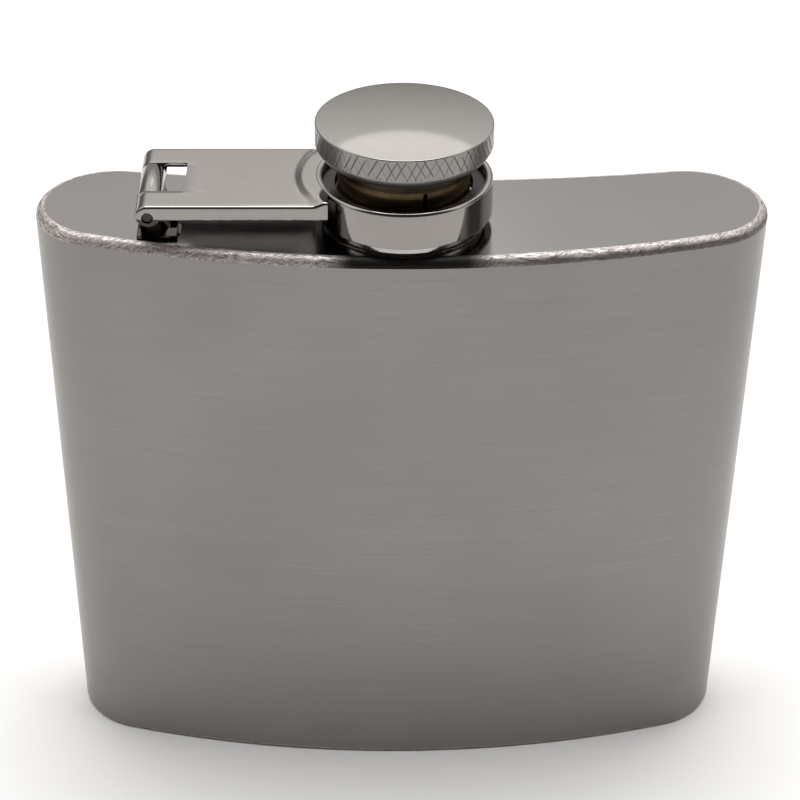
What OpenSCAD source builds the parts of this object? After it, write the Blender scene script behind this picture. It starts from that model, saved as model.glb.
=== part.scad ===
// Hip flask: kidney-section steel body, ring-top retainer arm and captive screw cap.
// Millimetres. Base on Z=0, neck axis on Z, convex front towards -Y, hinge end of the arm towards -X.
// Rest pose: arm down, cap unscrewed and standing up out of its collar.

/* [Body] */
// width across the ends at the top
top_w = 95; // [93:0.5:97]
// width across the ends at the base
base_w = 91.7; // [90:0.1:93]
// front to back at the middle
body_t = 22.6; // [22:0.1:23.5]
// how far the front bows out over the full width
front_bow = 8.5; // [8:0.1:9]
// how far the back bows in over the full width
back_bow = 4.9; // [4.5:0.1:5.3]
// height of the top plate's upper face
body_h = 80; // [78:0.5:84]
// sheet of the wrapped wall
wall_t = 0.6; // [0.5:0.1:0.7]
// thickness of the top and base plates
plate_t = 0.8; // [0.7:0.1:1]

/* [Seams] */
// radius of the ground weld round the top edge
top_round = 1.2; // [1:0.1:1.3]
// radius of the ground weld round the base edge
base_round = 0.5; // [0.4:0.1:0.7]
// leg of the bead round the neck foot
neck_bead = 0.4; // [0.3:0.05:0.45]
// leg of the beads along the bracket feet
foot_bead = 0.35; // [0.3:0.05:0.4]

/* [Neck] */
// radius of the pouring bore
mouth_r = 5.6; // [5.4:0.1:5.7]
// outer radius of the neck tube
neck_r = 6.6; // [6.5:0.05:6.6]
// height of the lip over the top plate
neck_h = 5.85; // [5.7:0.05:5.9]
// radius of the foot ring round the neck
foot_r = 10.2; // [10:0.05:10.25]
// height of the foot ring
foot_h = 1.45; // [1.3:0.05:1.5]
// wall of the foot ring
foot_wall = 0.6; // [0.5:0.05:0.65]

/* [Screw thread] */
// pitch of the single-start thread
pitch = 1.75; // [1.7:0.05:1.75]
// how far the thread stands off its tube
thread_h = 0.85; // [0.75:0.05:0.85]
// width of the thread at its foot
thread_foot = 0.8; // [0.7:0.05:0.85]
// width of the thread at its crest
thread_crest = 0.3; // [0.25:0.05:0.35]
// turns of thread on the neck
neck_turns = 1.5; // [1.25:0.25:1.5]
// turns of thread inside the sleeve
sleeve_turns = 1.5; // [1.25:0.25:1.5]

/* [Retainer arm] */
// width of the arm
arm_w = 16.4; // [16:0.1:16.6]
// sheet of the arm
arm_t = 0.6; // [0.5:0.05:0.6]
// height of the arm's upper face over the top plate
arm_top = 5.9; // [5.9:0.05:6]
// how far the side flanges reach down
flange_h = 1.9; // [1.7:0.05:1.9]
// distance from the hinge pin to the neck axis
reach = 32; // [31.5:0.1:32]
// where the arm's sheet ends short of the neck axis
arm_end = 9.6; // [9.4:0.1:9.8]
// width of the notch over the bracket
notch_w = 7.8; // [7.6:0.1:8]
// length of the notch from the pin
notch_len = 4.4; // [4.2:0.1:4.6]

/* [Collar] */
// outer radius of the collar
collar_r = 11.35; // [11.3:0.05:11.4]
// wall of the collar
collar_wall = 1; // [0.95:0.05:1]
// height of the collar's rim over the top plate
collar_top = 6.5; // [6.5:0.05:6.6]
// height of the collar band
collar_h = 4.95; // [4.9:0.05:5]
// radius of the hole in the inner ring
ring_bore_r = 8.75; // [8.7:0.05:8.8]
// depth of the inner ring under the rim
ring_drop = 1.1; // [1.1:0.05:1.15]
// thickness of the inner ring
ring_t = 0.5; // [0.45:0.05:0.5]

/* [Hinge] */
// radius of the hinge pin
pin_r = 0.69; // [0.65:0.01:0.7]
// running clearance round the pin
pin_play = 0.05; // [0.03:0.01:0.06]
// radius of the knuckle and of the arm's rolled ears
knuckle_r = 1.6; // [1.6:0.05:1.65]
// how far the pin ends sit in from the flange faces
pin_recess = 0.2; // [0.1:0.05:0.25]
// width of the bracket's feet
foot_w = 11.6; // [11:0.1:11.8]

/* [Cap] */
// radius over the knurl
cap_r = 11.25; // [11.2:0.05:11.3]
// height of the knurled rim
knurl_h = 2.62; // [2.5:0.02:2.7]
// height of the plain chamfer under the knurl
chamfer_h = 1.25; // [1.15:0.05:1.3]
// how far the chamfer comes in
chamfer_in = 0.8; // [0.8:0.05:1]
// round between rim and top
cap_edge = 0.17; // [0.1:0.01:0.2]
// rise of the domed top
dome_h = 0.3; // [0.2:0.05:0.35]
// gap between collar rim and cap when unscrewed
lift = 3.2; // [3.2:0.01:3.3]
// outer radius of the threaded sleeve
sleeve_r = 8.4; // [8.35:0.05:8.4]
// bore of the threaded sleeve
sleeve_bore_r = 7.75; // [7.7:0.05:7.8]
// length of the sleeve below the cap
sleeve_len = 5.95; // [5.9:0.05:6]
// width of the upright slit in the sleeve
slit_w = 0.5; // [0.4:0.05:0.6]
// height of the slit
slit_h = 3.85; // [3.5:0.05:4]
// thickness of the sealing disc
gasket_t = 1.4; // [1.3:0.05:1.5]

/* [Snap ring] */
// outer radius of the snap ring
snap_r = 9.3; // [9.2:0.05:9.35]
// thickness of the snap ring
snap_t = 0.5; // [0.45:0.05:0.5]
// opening between the ends of the snap ring
snap_gap = 1.6; // [1.2:0.1:2]

/* [Hidden] */

steel = [0.70, 0.68, 0.66];
steel_dark = [0.52, 0.51, 0.50];
brass = [0.62, 0.53, 0.38];
seal = [0.82, 0.82, 0.80];

fit = 0.02;
clear = 0.05;
chord_gap = 0.03;
round_n = 96;
arc_n = 26;
end_n = 14;
rim_n = 8;
turn_n = 36;

wall_z0 = base_round;
wall_z1 = body_h - top_round;
collar_z1 = body_h + collar_top;
collar_z0 = collar_z1 - collar_h;
collar_bore_r = collar_r - collar_wall;
ring_z1 = collar_z1 - ring_drop;
ring_z0 = ring_z1 - ring_t;
head_z0 = collar_z1 + lift;
knurl_z0 = head_z0 + chamfer_h;
rim_z1 = knurl_z0 + knurl_h;
sleeve_z0 = head_z0 - sleeve_len;
insert_r = cap_r - chamfer_in - 0.75;
insert_h = 2.1;
seal_z0 = body_h + neck_h + lift;
lip_z = body_h + neck_h;
arm_z1 = body_h + arm_top;
arm_z0 = arm_z1 - arm_t;
pin_z = arm_z1 - knuckle_r;
flange_z0 = arm_z1 - flange_h;
half_arm = arm_w / 2;
neck_thread_z0 = body_h + 2.2;
sleeve_thread_z0 = neck_thread_z0 + (floor(neck_turns + 0.5) + 0.5) * pitch;
groove_z0 = sleeve_z0 + 0.2;

// kidney outline: front and back arcs joined by end circles that touch both
function bow_r(w, bow) = (pow(w / 2, 2) + pow(bow, 2)) / (2 * bow);
function end_slope(rf, rb) = -(rf + rb) / (body_t + rb - rf);
function end_base(rf, rb) = (rf + rb) / 2 + (rf + rb) * (rf - rb) / (2 * (body_t + rb - rf));
function front_y(rf) = rf - body_t / 2;
function end_circle_r(h, rf, rb) =
    let (b = end_slope(rf, rb), a = end_base(rf, rb) - front_y(rf))
    let (q = 2 * (b * a - h + rf), c = h * h + a * a - rf * rf)
    (-q + sqrt(q * q - 4 * b * b * c)) / (2 * b * b);
// each entry is a point on the outline and its outward direction
function arc_run(cx, cy, r, a0, a1, n, side) =
    [for (i = [0 : n - 1]) let (a = a0 + (a1 - a0) * i / n)
        [cx + r * cos(a), cy + r * sin(a), side * cos(a), side * sin(a)]];
function outline(w) =
    let (k = pow(w / top_w, 2), h = w / 2)
    let (rf = bow_r(w, front_bow * k), rb = bow_r(w, back_bow * k))
    let (r = end_circle_r(h, rf, rb), ey = end_base(rf, rb) + end_slope(rf, rb) * r, ex = h - r)
    let (yf = front_y(rf), yb = body_t / 2 + rb)
    let (af = atan2(ex, yf - ey), ab = atan2(ex, yb - ey))
    concat(
        arc_run(0, yf, rf, -90 - af, -90 + af, arc_n, 1),
        arc_run(ex, ey, r, -90 + af, 90 + ab, end_n, 1),
        arc_run(0, yb, rb, -90 + ab, -90 - ab, arc_n, -1),
        arc_run(-ex, ey, r, 90 - ab, 270 - af, end_n, 1));
function inset(pts, d) = [for (p = pts) [p[0] - d * p[2], p[1] - d * p[3]]];
function at_z(pts, z) = [for (p = pts) [p[0], p[1], z]];
function blend(a, b, t) = [for (i = [0 : len(a) - 1]) a[i] + (b[i] - a[i]) * t];
function section(z) = blend(outline(base_w), outline(top_w), z / wall_z1);
function flat(lists) = [for (l = lists) for (p = l) p];

// closed tube through a list of equal rings, each one a loop of points
module ring_tube(rings) {
    n = len(rings[0]);
    m = len(rings);
    quads = [for (j = [0 : m - 1]) for (i = [0 : n - 1])
        [j * n + i, j * n + (i + 1) % n, ((j + 1) % m) * n + (i + 1) % n, ((j + 1) % m) * n + i]];
    faces = [for (q = quads) for (t = [[q[0], q[2], q[1]], [q[0], q[3], q[2]]]) t];
    polyhedron(points = flat(rings), faces = faces, convexity = 6);
}

// helical ridge: root and crest radii, turns, start height
module ridge(root_r, crest_r, turns, z0) {
    n = ceil(turns * turn_n);
    run_out = 0.15;
    half_root = thread_foot / 2;
    half_crest = thread_crest / 2;
    pts = [for (i = [0 : n])
        let (a = 360 * turns * i / n, z = z0 + pitch * turns * i / n)
        let (f = min(1, 6 * i / n + run_out, 6 * (n - i) / n + run_out))
        let (c = root_r + (crest_r - root_r) * f)
        for (p = [[root_r, -half_root], [root_r, half_root], [c, half_crest], [c, -half_crest]])
            [p[0] * cos(a), p[0] * sin(a), z + p[1]]];
    order = crest_r > root_r ? 1 : -1;
    side = [for (i = [0 : n - 1]) for (k = [0 : 3])
        let (a = 4 * i + k, b = 4 * i + (k + 1) % 4)
        for (t = [[a, b, b + 4], [a, b + 4, a + 4]]) order > 0 ? t : [t[2], t[1], t[0]]];
    first = [[2, 1, 0], [3, 2, 0]];
    last = [[4 * n, 4 * n + 1, 4 * n + 2], [4 * n, 4 * n + 2, 4 * n + 3]];
    caps = [for (t = concat(first, last)) order > 0 ? t : [t[2], t[1], t[0]]];
    polyhedron(points = pts, faces = concat(side, caps), convexity = 8);
}

module tube(r1, r0, z0, z1) {
    rotate_extrude($fn = round_n)
        translate([r0, z0])
            square([r1 - r0, z1 - z0]);
}

module along_y(x, z, r, y0, y1) {
    translate([x, y1, z])
        rotate([90, 0, 0])
            cylinder(r = r, h = y1 - y0, $fn = round_n);
}

module plate_shape() {
    polygon(inset(outline(top_w), top_round + fit));
}

module body_wall() {
    color(steel) ring_tube([
        at_z(inset(section(wall_z0), 0), wall_z0),
        at_z(inset(section(wall_z1), 0), wall_z1),
        at_z(inset(section(wall_z1), wall_t), wall_z1),
        at_z(inset(section(wall_z0), wall_t), wall_z0)]);
}

module top_plate() {
    color(steel) difference() {
        translate([0, 0, body_h - plate_t])
            linear_extrude(plate_t)
                plate_shape();
        translate([0, 0, body_h - plate_t - 1])
            cylinder(r = neck_r + fit, h = plate_t + 2, $fn = round_n);
    }
}

module base_plate() {
    color(steel_dark) linear_extrude(plate_t)
        polygon(inset(outline(base_w), wall_t + base_round + fit));
}

module top_seam() {
    steps = [for (i = [0 : 6]) 90 * i / 6];
    top = outline(top_w);
    color(steel_dark) ring_tube(concat(
        [for (a = steps) at_z(inset(top, top_round * (1 - cos(a))), wall_z1 + top_round * sin(a))],
        [at_z(inset(top, top_round), wall_z1)]));
}

module base_seam() {
    steps = [for (i = [0 : 3]) 90 - 90 * i / 3];
    in = wall_t + base_round;
    color(steel_dark) ring_tube(concat(
        [at_z(inset(outline(base_w), in), 0)],
        [for (a = steps) at_z(inset(section(0), base_round * (1 - cos(a))), base_round * (1 - sin(a)))],
        [at_z(inset(outline(base_w), in), wall_z0)]));
}

module neck() {
    floor_t = 0.4;
    lip = 0.25;
    color(steel) rotate_extrude($fn = round_n)
        polygon([
            [mouth_r, body_h - plate_t],
            [neck_r, body_h - plate_t],
            [neck_r, body_h],
            [foot_r, body_h],
            [foot_r, body_h + foot_h],
            [foot_r - foot_wall, body_h + foot_h],
            [foot_r - foot_wall, body_h + floor_t],
            [neck_r, body_h + floor_t],
            [neck_r, lip_z - lip],
            [neck_r - lip, lip_z],
            [mouth_r, lip_z]]);
}

module neck_thread() {
    color(steel) ridge(neck_r + chord_gap, neck_r + thread_h, neck_turns, neck_thread_z0);
}

module neck_bead() {
    color(steel_dark) rotate_extrude($fn = round_n)
        polygon([
            [foot_r + fit, body_h + fit],
            [foot_r + neck_bead, body_h + fit],
            [foot_r + 0.4 * neck_bead, body_h + 0.45 * neck_bead],
            [foot_r + fit, body_h + neck_bead]]);
}

module hinge_bracket() {
    strip = 0.55;
    left = -reach - 1.7;
    right = -reach + 3.4;
    web_top = pin_z - knuckle_r - 0.25;
    color(steel) difference() {
        union() {
            along_y(-reach, pin_z, knuckle_r, -notch_w / 2 + 0.15, notch_w / 2 - 0.15);
            translate([0, notch_w / 2 - 0.15, 0])
                rotate([90, 0, 0])
                    linear_extrude(notch_w - 0.3)
                        polygon([
                            [-reach - 1.35, web_top - 0.1],
                            [-reach - 1.45, pin_z - 0.6],
                            [-reach + 1.45, pin_z - 0.6],
                            [-reach + 1.5, web_top - 0.1]]);
            translate([0, foot_w / 2, 0])
                rotate([90, 0, 0])
                    linear_extrude(foot_w)
                        polygon([
                            [left, body_h],
                            [left, body_h + strip],
                            [-reach - 1.35, web_top],
                            [-reach + 1.5, web_top],
                            [-reach + 2.2, body_h + strip],
                            [right, body_h + strip],
                            [right, body_h]]);
        }
        along_y(-reach, pin_z, pin_r + clear / 2, -half_arm, half_arm);
        translate([0, half_arm, 0])
            rotate([90, 0, 0])
                linear_extrude(arm_w)
                    polygon([
                        [-reach - 1.0, body_h - 1],
                        [-reach - 0.7, web_top - strip],
                        [-reach + 0.8, web_top - strip],
                        [-reach + 1.4, body_h - 1]]);
    }
}

module bracket_beads() {
    left = -reach - 1.7;
    right = -reach + 3.4;
    color(steel_dark) for (s = [-1, 1])
        translate([0, s * (foot_w / 2 - 2.6) + 1.2, 0])
            rotate([90, 0, 0])
                linear_extrude(2.4)
                    polygon([
                        [right + fit, body_h + fit],
                        [right + foot_bead, body_h + fit],
                        [right + fit, body_h + foot_bead]]);
}

module hinge_pin() {
    color(steel_dark) along_y(-reach, pin_z, pin_r, -half_arm + pin_recess, half_arm - pin_recess);
}

module ear_roll(y0, y1) {
    difference() {
        along_y(-reach, pin_z, knuckle_r, y0, y1);
        along_y(-reach, pin_z, knuckle_r - arm_t, y0 - 1, y1 + 1);
        translate([-reach, y0 - 1, pin_z - 0.35])
            cube([knuckle_r + 1, y1 - y0 + 2, knuckle_r - arm_t + 0.35]);
    }
}

module flange(y0) {
    lobe = 1.1;
    union() {
        difference() {
            union() {
                along_y(-reach, pin_z, knuckle_r, y0, y0 + arm_t);
                translate([-reach, y0, flange_z0])
                    cube([reach - arm_end, arm_t, flange_h]);
            }
            translate([-reach - knuckle_r - 1, y0 - 1, flange_z0 - knuckle_r - 1])
                cube([reach, arm_t + 2, knuckle_r + 1]);
        }
        along_y(-reach, pin_z, lobe, y0, y0 + arm_t);
    }
}

module collar_profile() {
    top = [for (i = [0 : rim_n]) let (a = 180 * i / rim_n)
        [collar_r - collar_wall / 2 + collar_wall / 2 * cos(a), collar_z1 - collar_wall / 2 * (1 - sin(a))]];
    edge = 0.12;
    polygon(concat(
        [[collar_bore_r, collar_z0 + edge], [collar_bore_r + edge, collar_z0],
            [collar_r - edge, collar_z0], [collar_r, collar_z0 + edge]],
        top));
}

module retainer_arm() {
    flare_r = collar_r + 2.65;
    flare_h = 0.52;
    mid = collar_r - collar_wall / 2;
    color(steel) difference() {
        union() {
            rotate_extrude($fn = round_n)
                collar_profile();
            difference() {
                union() {
                    translate([-reach, -half_arm, arm_z0])
                        cube([reach - arm_end, arm_w, arm_t]);
                    for (s = [-1, 1])
                        ear_roll(s > 0 ? notch_w / 2 : -half_arm + arm_t, s > 0 ? half_arm - arm_t : -notch_w / 2);
                    flange(-half_arm);
                    flange(half_arm - arm_t);
                    intersection() {
                        rotate_extrude($fn = round_n)
                            polygon([
                                [mid, arm_z0],
                                [flare_r, arm_z0],
                                [flare_r, arm_z1],
                                [flare_r - 0.4, arm_z1 + 0.2 * flare_h],
                                [flare_r - 0.9, arm_z1 + 0.8 * flare_h],
                                [flare_r - 1.3, arm_z1 + flare_h],
                                [mid, arm_z1 + flare_h]]);
                        translate([-flare_r - 1, -half_arm, arm_z0])
                            cube([flare_r + 1 - arm_end, arm_w, 2]);
                    }
                }
                cylinder(r = mid, h = 2 * body_h, $fn = round_n);
            }
        }
        translate([-reach - knuckle_r - 1, -notch_w / 2, pin_z - knuckle_r - 1])
            cube([knuckle_r + 1 + notch_len, notch_w, 2 * knuckle_r + 2]);
        along_y(-reach, pin_z, pin_r + pin_play, -half_arm - 1, half_arm + 1);
    }
}

module inner_ring() {
    color(steel_dark) tube(collar_bore_r - fit, ring_bore_r, ring_z0, ring_z1);
}

module snap_ring() {
    color(steel_dark) difference() {
        tube(snap_r, sleeve_r - 0.2, groove_z0 + clear, groove_z0 + clear + snap_t);
        translate([0, -snap_gap / 2, groove_z0 - 1])
            cube([snap_r + 1, snap_gap, snap_t + 2]);
    }
}

module cap_head() {
    round = [for (i = [0 : 3]) let (a = 90 * i / 3)
        [cap_r - cap_edge * (1 - cos(a)), rim_z1 + cap_edge * sin(a)]];
    dome = [for (i = [1 : rim_n]) let (t = i / rim_n)
        [(cap_r - cap_edge) * (1 - t), rim_z1 + cap_edge + dome_h * (1 - pow(1 - t, 2))]];
    color(steel) rotate_extrude($fn = round_n)
        polygon(concat(
            [[0, head_z0 + insert_h], [insert_r, head_z0 + insert_h], [insert_r, head_z0],
                [cap_r - chamfer_in, head_z0], [cap_r, knurl_z0]],
            round, dome));
}

module threaded_sleeve() {
    groove = 0.25;
    slit_x = 2.5;
    color(brass) difference() {
        rotate_extrude($fn = round_n)
            polygon([
                [0, seal_z0 + gasket_t],
                [sleeve_bore_r, seal_z0 + gasket_t],
                [sleeve_bore_r, sleeve_z0],
                [sleeve_r, sleeve_z0],
                [sleeve_r, groove_z0],
                [sleeve_r - groove, groove_z0],
                [sleeve_r - groove, groove_z0 + snap_t + 2 * clear],
                [sleeve_r, groove_z0 + snap_t + 2 * clear],
                [sleeve_r, head_z0 + clear],
                [insert_r - fit, head_z0 + clear],
                [insert_r - fit, head_z0 + insert_h - fit],
                [0, head_z0 + insert_h - fit]]);
        translate([slit_x, -sleeve_r + 1, sleeve_z0 + slit_h / 2 - 0.5])
            cube([slit_w, 4, slit_h + 1], center = true);
    }
}

module sleeve_thread() {
    color(brass) ridge(sleeve_bore_r - fit, sleeve_bore_r - thread_h, sleeve_turns, sleeve_thread_z0);
}

module sealing_disc() {
    color(seal) translate([0, 0, seal_z0])
        cylinder(r = sleeve_bore_r - thread_h - 0.15, h = gasket_t - fit, $fn = round_n);
}

body_wall();
top_plate();
base_plate();
top_seam();
base_seam();
neck();
neck_thread();
neck_bead();
hinge_bracket();
bracket_beads();
hinge_pin();
retainer_arm();
inner_ring();
snap_ring();
cap_head();
threaded_sleeve();
sleeve_thread();
sealing_disc();
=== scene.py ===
import math

import bmesh
import bpy
import numpy as np
from mathutils import Matrix, Vector
from mathutils.geometry import delaunay_2d_cdt

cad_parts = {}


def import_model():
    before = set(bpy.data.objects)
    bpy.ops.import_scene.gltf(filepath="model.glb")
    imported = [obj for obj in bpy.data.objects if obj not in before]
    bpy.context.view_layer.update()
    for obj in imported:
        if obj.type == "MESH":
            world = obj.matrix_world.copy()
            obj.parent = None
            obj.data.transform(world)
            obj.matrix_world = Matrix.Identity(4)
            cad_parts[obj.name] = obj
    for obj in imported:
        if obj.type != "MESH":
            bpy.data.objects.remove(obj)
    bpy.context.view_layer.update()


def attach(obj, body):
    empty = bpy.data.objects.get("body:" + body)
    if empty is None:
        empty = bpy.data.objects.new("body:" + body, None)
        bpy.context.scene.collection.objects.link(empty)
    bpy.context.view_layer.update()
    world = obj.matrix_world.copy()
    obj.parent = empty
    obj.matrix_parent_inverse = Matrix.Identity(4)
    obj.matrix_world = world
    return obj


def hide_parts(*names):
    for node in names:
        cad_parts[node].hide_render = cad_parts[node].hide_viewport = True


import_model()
MM = 0.001

# ---------------------------------------------------------------- sizes, repeated from part.scad (mm)
TOP_W, BASE_W, BODY_T = 95.0, 91.7, 22.6
FRONT_BOW, BACK_BOW, BODY_H = 8.5, 4.9, 80.0
WALL_T, PLATE_T, TOP_R, BASE_R = 0.6, 0.8, 1.2, 0.5
WALL_Z0, WALL_Z1 = BASE_R, BODY_H - TOP_R
MOUTH_R, NECK_R, NECK_H = 5.6, 6.6, 5.85
FOOT_R, FOOT_H, FOOT_WALL, BEAD = 10.2, 1.45, 0.6, 0.4
PITCH, THREAD_H, THREAD_FOOT, THREAD_CREST, TURNS = 1.75, 0.85, 0.8, 0.3, 1.5
HALF_ARM, ARM_T = 8.2, 0.6
REACH, ARM_END, NOTCH_W, NOTCH_LEN = 32.0, 9.6, 7.8, 4.4
COLLAR_R, COLLAR_WALL, COLLAR_Z1, COLLAR_H = 11.35, 1.0, 86.5, 4.95
RING_BORE, RING_Z1, RING_T = 8.75, 85.4, 0.5
PIN_R, PIN_Z, KNUCKLE_R = 0.69, 84.3, 1.6
FLANGE_Z0 = 84.0
FOOT_W = 11.6
CAP_R, HEAD_Z0, KNURL_Z0, RIM_Z1 = 11.25, 89.7, 90.95, 93.57
CHAMFER_IN, CAP_EDGE, DOME_H = 0.8, 0.17, 0.3
SLEEVE_R, SLEEVE_BORE, SLEEVE_Z0, SEAL_Z0, SEAL_T = 8.4, 7.75, 83.75, 89.05, 1.4
SLIT_H, INSERT_R = 3.85, 9.7
SNAP_R, SNAP_T = 9.3, 0.5
THREAD_Z0 = BODY_H + 2.2
SLEEVE_THREAD_Z0 = THREAD_Z0 + (math.floor(TURNS + 0.5) + 0.5) * PITCH
COLLAR_BORE = COLLAR_R - COLLAR_WALL
SLIT_X, SLIT_W = 2.5, 0.5

# sizes of this model alone (mm)
HAIR = 0.01  # gap between faces that touch in the CAD
SKIN_IN = 0.02  # how far the smooth outline is moved in, because the CAD's facets cut its curves short


# ---------------------------------------------------------------- mesh helpers
def make(name, verts, faces, body, mat, nodes=(), sharp=32.0, weld=1e-4):
    """One piece from points in mm: cleaned, smooth but for sharp edges, riding a body and filling nodes."""
    me = bpy.data.meshes.new(name)
    me.from_pydata((np.asarray(verts, float) * MM).tolist(), [], [list(map(int, f)) for f in faces])
    bm = bmesh.new()
    bm.from_mesh(me)
    if weld:
        bmesh.ops.remove_doubles(bm, verts=bm.verts, dist=weld * MM)
    bmesh.ops.recalc_face_normals(bm, faces=bm.faces)
    bm.to_mesh(me)
    bm.free()
    for p in me.polygons:
        p.use_smooth = True
    me.set_sharp_from_angle(angle=math.radians(sharp))
    ob = bpy.data.objects.new(name, me)
    bpy.context.scene.collection.objects.link(ob)
    me.materials.append(mat)
    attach(ob, body)
    if nodes:
        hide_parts(*nodes)
    return ob


def grid_faces(rows, cols, wrap_rows=False):
    """Quads of a grid of points whose columns close into a loop, and its rows too if asked."""
    out = []
    for j in range(rows if wrap_rows else rows - 1):
        for i in range(cols):
            a = j * cols + i
            b = j * cols + (i + 1) % cols
            c = ((j + 1) % rows) * cols + (i + 1) % cols
            d = ((j + 1) % rows) * cols + i
            out.append((a, b, c, d))
    return out


def eased(poly, cut, steps=4, hold=0.04, closed=True):
    """Polygon with each corner eased by a small curve, and a short flat kept on each side of it."""
    cuts = cut if isinstance(cut, dict) else None
    n, out = len(poly), []
    for i, p in enumerate(poly):
        c = cuts.get(i, 0.0) if cuts is not None else cut
        p = np.array(p, float)
        if not closed and i in (0, n - 1):
            out.append(p)
            continue
        a, b = np.array(poly[i - 1], float), np.array(poly[(i + 1) % n], float)
        la, lb = np.linalg.norm(a - p), np.linalg.norm(b - p)
        c = min(c, 0.42 * la, 0.42 * lb)
        if c < 1e-4:
            out.append(p)
            continue
        ua, ub = (a - p) / la, (b - p) / lb
        h = min(hold, 0.06 * min(la, lb))
        out.append(p + ua * (c + h))
        for k in range(steps + 1):
            t = k / steps
            out.append((1 - t) ** 2 * (p + ua * c) + 2 * t * (1 - t) * p + t * t * (p + ub * c))
        out.append(p + ub * (c + h))
    return out


def lathe(profile, n=256):
    """Turned solid of a profile of r, z points."""
    profile = np.asarray(profile, float)
    ang = np.linspace(0, 2 * math.pi, n, endpoint=False)
    verts = [(r * math.cos(a), r * math.sin(a), z) for r, z in profile for a in ang]
    return verts, grid_faces(len(profile), n, wrap_rows=True)


def join_parts(*parts):
    """One mesh from several (points, faces) pairs."""
    verts, faces = [], []
    for v, f in parts:
        faces += [tuple(k + len(verts) for k in q) for q in f]
        verts += [tuple(p) for p in v]
    return verts, faces


def extruded(poly, y0, y1, edge=0.06):
    """Prism along Y of a polygon in x, z, with eased rims on both ends."""
    poly = np.asarray(poly, float)
    poly = poly[np.linalg.norm(poly - np.roll(poly, 1, 0), axis=1) > 1e-6]
    n = len(poly)
    nxt, prv = np.roll(poly, -1, 0), np.roll(poly, 1, 0)
    e1, e0 = nxt - poly, poly - prv
    e1 /= np.linalg.norm(e1, axis=1)[:, None]
    e0 /= np.linalg.norm(e0, axis=1)[:, None]
    area = 0.5 * np.sum(poly[:, 0] * nxt[:, 1] - nxt[:, 0] * poly[:, 1])
    s = 1 if area > 0 else -1
    nrm = s * (np.stack([e1[:, 1], -e1[:, 0]], 1) + np.stack([e0[:, 1], -e0[:, 0]], 1))
    nrm /= np.maximum(np.linalg.norm(nrm, axis=1), 0.8)[:, None]
    rings = []
    for k in range(4):
        a = k / 3 * math.pi / 2
        rings.append((edge * (1 - math.sin(a)), y0 + edge * (1 - math.cos(a))))
    rings += [(d, y0 + y1 - y) for d, y in reversed(rings)]
    verts = [(p[0] - q[0] * d, y, p[1] - q[1] * d) for d, y in rings for p, q in zip(poly, nrm)]
    faces = grid_faces(len(rings), n)
    faces.append(tuple(range(n)))
    faces.append(tuple((len(rings) - 1) * n + i for i in range(n)))
    return verts, faces


# ---------------------------------------------------------------- the kidney outline
def arc_run(cx, cy, r, a0, a1, n, side):
    """Points of an arc as x, y and the outward normal; side is -1 where the arc is hollow."""
    a = np.radians(a0 + (a1 - a0) * np.arange(n) / n)
    return np.stack([cx + r * np.cos(a), cy + r * np.sin(a), side * np.cos(a), side * np.sin(a)], 1)


def outline(w, na=150, ne=56):
    """Kidney outline of width w: a bowed front, a hollow back and round ends that meet both."""
    k, h = (w / TOP_W) ** 2, w / 2
    rf = ((w / 2) ** 2 + (FRONT_BOW * k) ** 2) / (2 * FRONT_BOW * k)
    rb = ((w / 2) ** 2 + (BACK_BOW * k) ** 2) / (2 * BACK_BOW * k)
    slope = -(rf + rb) / (BODY_T + rb - rf)
    base = (rf + rb) / 2 + (rf + rb) * (rf - rb) / (2 * (BODY_T + rb - rf))
    yf, yb = rf - BODY_T / 2, BODY_T / 2 + rb
    a = base - yf
    q, c = 2 * (slope * a - h + rf), h * h + a * a - rf * rf
    r = (-q + math.sqrt(q * q - 4 * slope * slope * c)) / (2 * slope * slope)
    ey, ex = base + slope * r, h - r
    af, ab = math.degrees(math.atan2(ex, yf - ey)), math.degrees(math.atan2(ex, yb - ey))
    return np.concatenate([
        arc_run(0, yf, rf, -90 - af, -90 + af, na, 1),
        arc_run(ex, ey, r, -90 + af, 90 + ab, ne, 1),
        arc_run(0, yb, rb, -90 + ab, -90 - ab, na, -1),
        arc_run(-ex, ey, r, 90 - ab, 270 - af, ne, 1)])


TOP, BASE = outline(TOP_W), outline(BASE_W)
N_OUT = len(TOP)


def section(z):
    """Outline of the body at height z."""
    t = z / WALL_Z1
    return BASE + (TOP - BASE) * t


def ring(sec, d, z):
    """Loop of a section at height z, moved in by d, which is a number or one value a point."""
    d = np.broadcast_to(d, len(sec)) + SKIN_IN
    z = np.broadcast_to(z, len(sec))
    return np.stack([sec[:, 0] - d * sec[:, 2], sec[:, 1] - d * sec[:, 3], z], 1)


def tube(rings):
    """Closed sheet through a list of loops, the last joined to the first."""
    return np.concatenate(rings), grid_faces(len(rings), len(rings[0]), wrap_rows=True)


def wave(points, seed, terms, scale):
    """Smooth seeded unevenness: a sum of sines in random directions, about -1 to 1."""
    rng = np.random.default_rng(seed)
    total = np.zeros(len(points))
    for _ in range(terms):
        d = rng.normal(size=3)
        d /= np.linalg.norm(d)
        f = 2 * math.pi / (scale * rng.uniform(0.6, 1.8))
        total += np.sin(points @ d * f + rng.uniform(0, 2 * math.pi))
    return total / math.sqrt(terms)


# ---------------------------------------------------------------- materials
def new_mat(name):
    """Empty node material with one shader: the material, its node tree and the shader."""
    m = bpy.data.materials.new(name)
    m.use_nodes = True
    nt = m.node_tree
    nt.nodes.clear()
    out = nt.nodes.new("ShaderNodeOutputMaterial")
    b = nt.nodes.new("ShaderNodeBsdfPrincipled")
    nt.links.new(b.outputs["BSDF"], out.inputs["Surface"])
    return m, nt, b


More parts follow.
